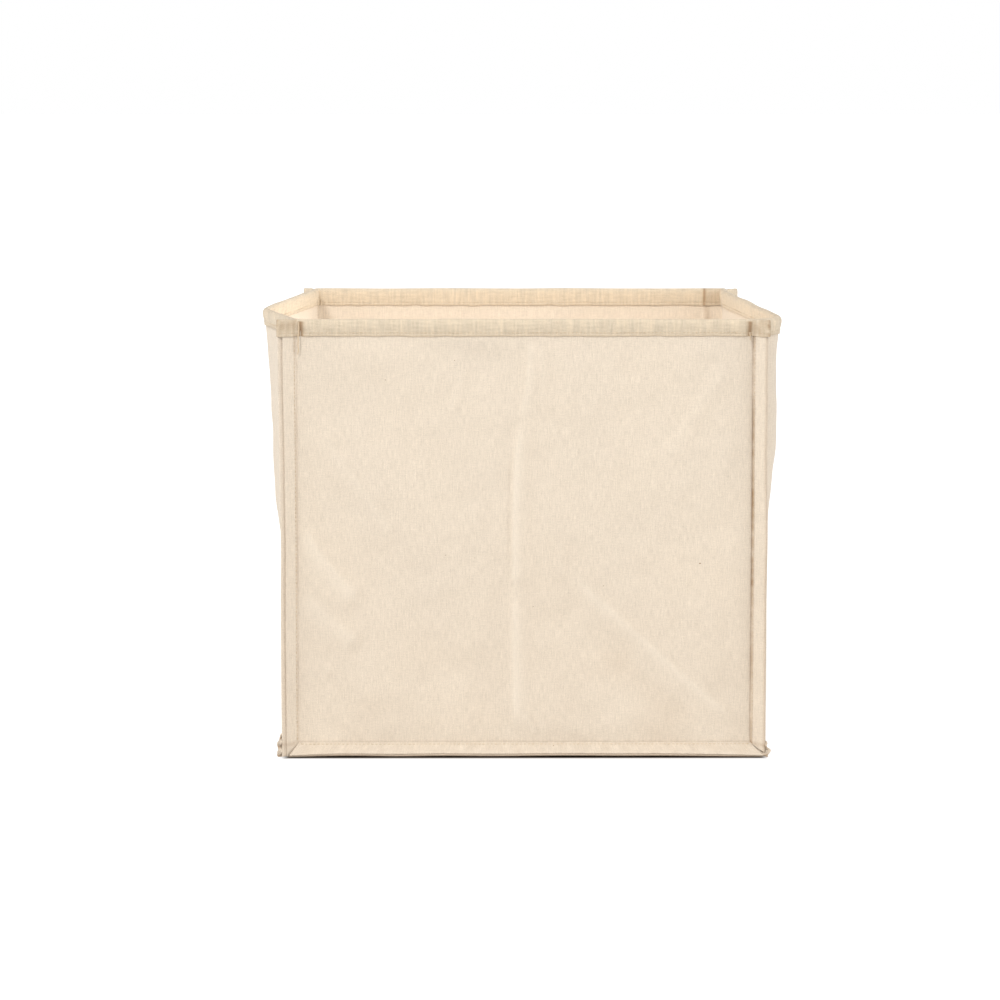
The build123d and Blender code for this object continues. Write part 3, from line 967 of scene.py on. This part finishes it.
tails = bmesh.new()
tails.from_mesh(rimThread.data)
tails.faces.ensure_lookup_table()
threadFinish = tails.faces[0].material_index
for number, end in enumerate(threadTails["ends"]):
    threadTail(tails, threadFinish, *end, 330 + 2 * number)
bmesh.ops.recalc_face_normals(tails, faces=tails.faces)
tails.to_mesh(rimThread.data)
tails.free()
rimThread.data.shade_smooth()
print("stitches made:", len(rimThread.data.polygons), [len(p.data.polygons) for p in seams + baseSeams])

# ---- the steel hoop inside the binding, and the sleeve that joins its ends
def roundRod(name, spots, directions, radius, height, material, sides=10, closed=True):
    turn = np.linspace(0, 2 * pi, sides, endpoint=False)
    level = height + binding["backRise"] * ramp(spots[:, 1], -0.1, 0.14) * 0.5
    points = np.concatenate([
        np.column_stack([spots + directions * radius * cos(a), level + radius * sin(a)]) for a in turn
    ])
    count = len(spots)
    index = np.arange(sides * count).reshape(sides, count)
    index = np.vstack([index, index[:1]])
    if closed:
        index = np.column_stack([index, index[:, :1]])
    faces = [(index[i, j], index[i + 1, j], index[i + 1, j + 1], index[i, j + 1])
             for i in range(sides) for j in range(index.shape[1] - 1)]
    if not closed:
        faces += [tuple(index[:sides, 0][::-1]), tuple(index[:sides, -1])]
    piece = newPiece(name, points, faces, pairs(*np.meshgrid(np.arange(count), turn)), material)
    tidy = bmesh.new()
    tidy.from_mesh(piece.data)
    bmesh.ops.recalc_face_normals(tidy, faces=tidy.faces)
    tidy.to_mesh(piece.data)
    tidy.free()
    piece.data.shade_smooth()
    piece.data.set_sharp_from_angle(angle=radians(55))
    return piece


wireHeight = (wireLow[2] + wireHigh[2]) / 2
hoop = roundRod("spring_wire", mouthSpots, mouthOut, wireRadius, wireHeight, steel)
ferruleMiddle = np.array([(ferruleLow[0] + ferruleHigh[0]) / 2, (ferruleLow[1] + ferruleHigh[1]) / 2])
ferruleHalf = max(ferruleHigh[0] - ferruleLow[0], ferruleHigh[1] - ferruleLow[1]) / 2
ferruleSpots = np.flatnonzero(np.linalg.norm(mouthSpots - ferruleMiddle, axis=1) <= ferruleHalf)
ferrule = roundRod(
    "wire_ferrule", mouthSpots[ferruleSpots], mouthOut[ferruleSpots],
    (ferruleHigh[2] - ferruleLow[2]) / 2, wireHeight, sleeve, closed=False,
)

# ---- what each piece rides on and what it stands for
for side, panel, footPiece, topPiece in zip(sideNames, panels, feet, tops):
    for piece, body in ((panel, "bag"), (footPiece, "bag"), (topPiece, "rim")):
        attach(piece, body)
        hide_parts(f"{side}_panel")
    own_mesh(panel)
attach(base, "bag")
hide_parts("base_panel")
for corner, piece in zip(cornerNames, seams):
    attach(piece, "bag")
    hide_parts(f"corner_seam_{corner}")
    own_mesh(piece)
for side, piece in zip(sideNames, baseSeams):
    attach(piece, "bag")
    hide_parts(f"base_seam_{side}")
for piece, cad, finish in ((hoop, "rim_wire", "spring_wire"), (ferrule, "rim_wire_ferrule", "ferrule_steel")):
    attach(piece, "rim")
    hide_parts(cad)
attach(rimBinding, "rim")
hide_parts("rim_binding")
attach(rimThread, "rim")
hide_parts("rim_stitching")

# ---- floor, light and camera
lookOfScene = {
    "floor": 0.40, "floorGlow": 0.72, "sky": 0.44,
    # the floor's colour where the bin stands is a painted shadow
    "footprint": 0.1715, "fade": 0.008, "shadowUnderBin": (0.09, 0.06, 0.035),       # where the bin stands
    "sunPower": 1.85, "sunSoft": 12, "sunTurn": (-27, 40),       # from the left of the front, and how high
    "sidePower": 1.80, "sideSoft": 60, "sideTurn": (72, 30),
    "leftPower": 1.05, "leftSoft": 40, "leftTurn": (-78, 24),
    "innerPower": 1.18, "innerSize": 0.08, "innerPlace": (0.0, -0.03, 0.15),
    "acrossPower": 1.7, "acrossSize": 0.05, "acrossPlace": (0.12, 0.02, 0.295),       # onto the left wall
    "acrossSpread": 75,
}


def newLamp(name, kind, look):
    light = bpy.data.lights.new(name, kind)
    light.energy = look[name + "Power"]
    lamp = bpy.data.objects.new(name, light)
    bpy.context.collection.objects.link(lamp)
    if kind == "SUN":
        turn, high = look[name + "Turn"]
        light.angle = radians(look[name + "Soft"])
        lamp.rotation_euler = (radians(90 - high), 0, radians(turn))
    else:
        light.shadow_soft_size = look[name + "Size"]
        lamp.location = look[name + "Place"]
    return light, lamp


def studio(look):
    bpy.ops.mesh.primitive_plane_add(size=60, location=(0, 0, -0.0002))
    floor = bpy.context.object
    floor.name = "floor"
    material, tree, shader = newMaterial("paleFloor")
    # painted shadow: the glow stops under the bin and the floor's colour turns dark brown there, where
    # nothing lights the floor
    place = node(tree, "ShaderNodeTexCoord").outputs["Object"]
    split = feed(tree, node(tree, "ShaderNodeSeparateXYZ"), {0: place})
    aside, ahead = [math(tree, "ABSOLUTE", split[axis]) for axis in ("X", "Y")]
    glow = feed(tree, node(tree, "ShaderNodeMapRange", interpolation_type="SMOOTHSTEP"), {
        "Value": math(tree, "MAXIMUM", aside, ahead), "From Min": look["footprint"],
        "From Max": look["footprint"] + look["fade"], "To Max": look["floorGlow"],
    })["Result"]
    lit = math(tree, "DIVIDE", glow, look["floorGlow"])
    feed(tree, shader, {
        "Base Color": blended(tree, lit, look["shadowUnderBin"], (look["floor"],) * 3), "Roughness": 0.9,
        "Specular IOR Level": 0.1, "Emission Color": (1, 1, 1), "Emission Strength": glow,
    })
    floor.data.materials.append(material)

    world = bpy.data.worlds.new("studio")
    bpy.context.scene.world = world
    world.use_nodes = True
    tree = world.node_tree
    seen = node(tree, "ShaderNodeLightPath").outputs["Is Camera Ray"]
    shown = {"Value": seen, "To Min": look["sky"], "To Max": 1.0}
    strength = feed(tree, node(tree, "ShaderNodeMapRange"), shown)["Result"]
    feed(tree, tree.nodes["Background"], {"Color": (1.0, 1.0, 1.0), "Strength": strength})

    for name, kind in (("sun", "SUN"), ("side", "SUN"), ("left", "SUN"), ("inner", "POINT")):
        newLamp(name, kind, look)
    light, lamp = newLamp("across", "SPOT", look)
    light.spot_size = radians(look["acrossSpread"])
    light.spot_blend = 1.0
    lamp.rotation_euler = (0, radians(90), 0)
    lamp.visible_camera = False
    settings = bpy.context.scene.view_settings
    settings.view_transform = "Standard"
    settings.look = "None"


studio(lookOfScene)
cameraLook = {"place": (-0.0278, -2.7896, 0.5076), "down": 6.93, "right": 0.212, "lens": 130.96}


def takeView(look):
    data = bpy.data.cameras.new("camera")
    data.lens = look["lens"]
    data.clip_start = 0.05
    camera = bpy.data.objects.new("camera", data)
    bpy.context.collection.objects.link(camera)
    camera.location = look["place"]
    camera.rotation_euler = (radians(90 - look["down"]), 0, radians(-look["right"]))
    bpy.context.scene.camera = camera


takeView(cameraLook)
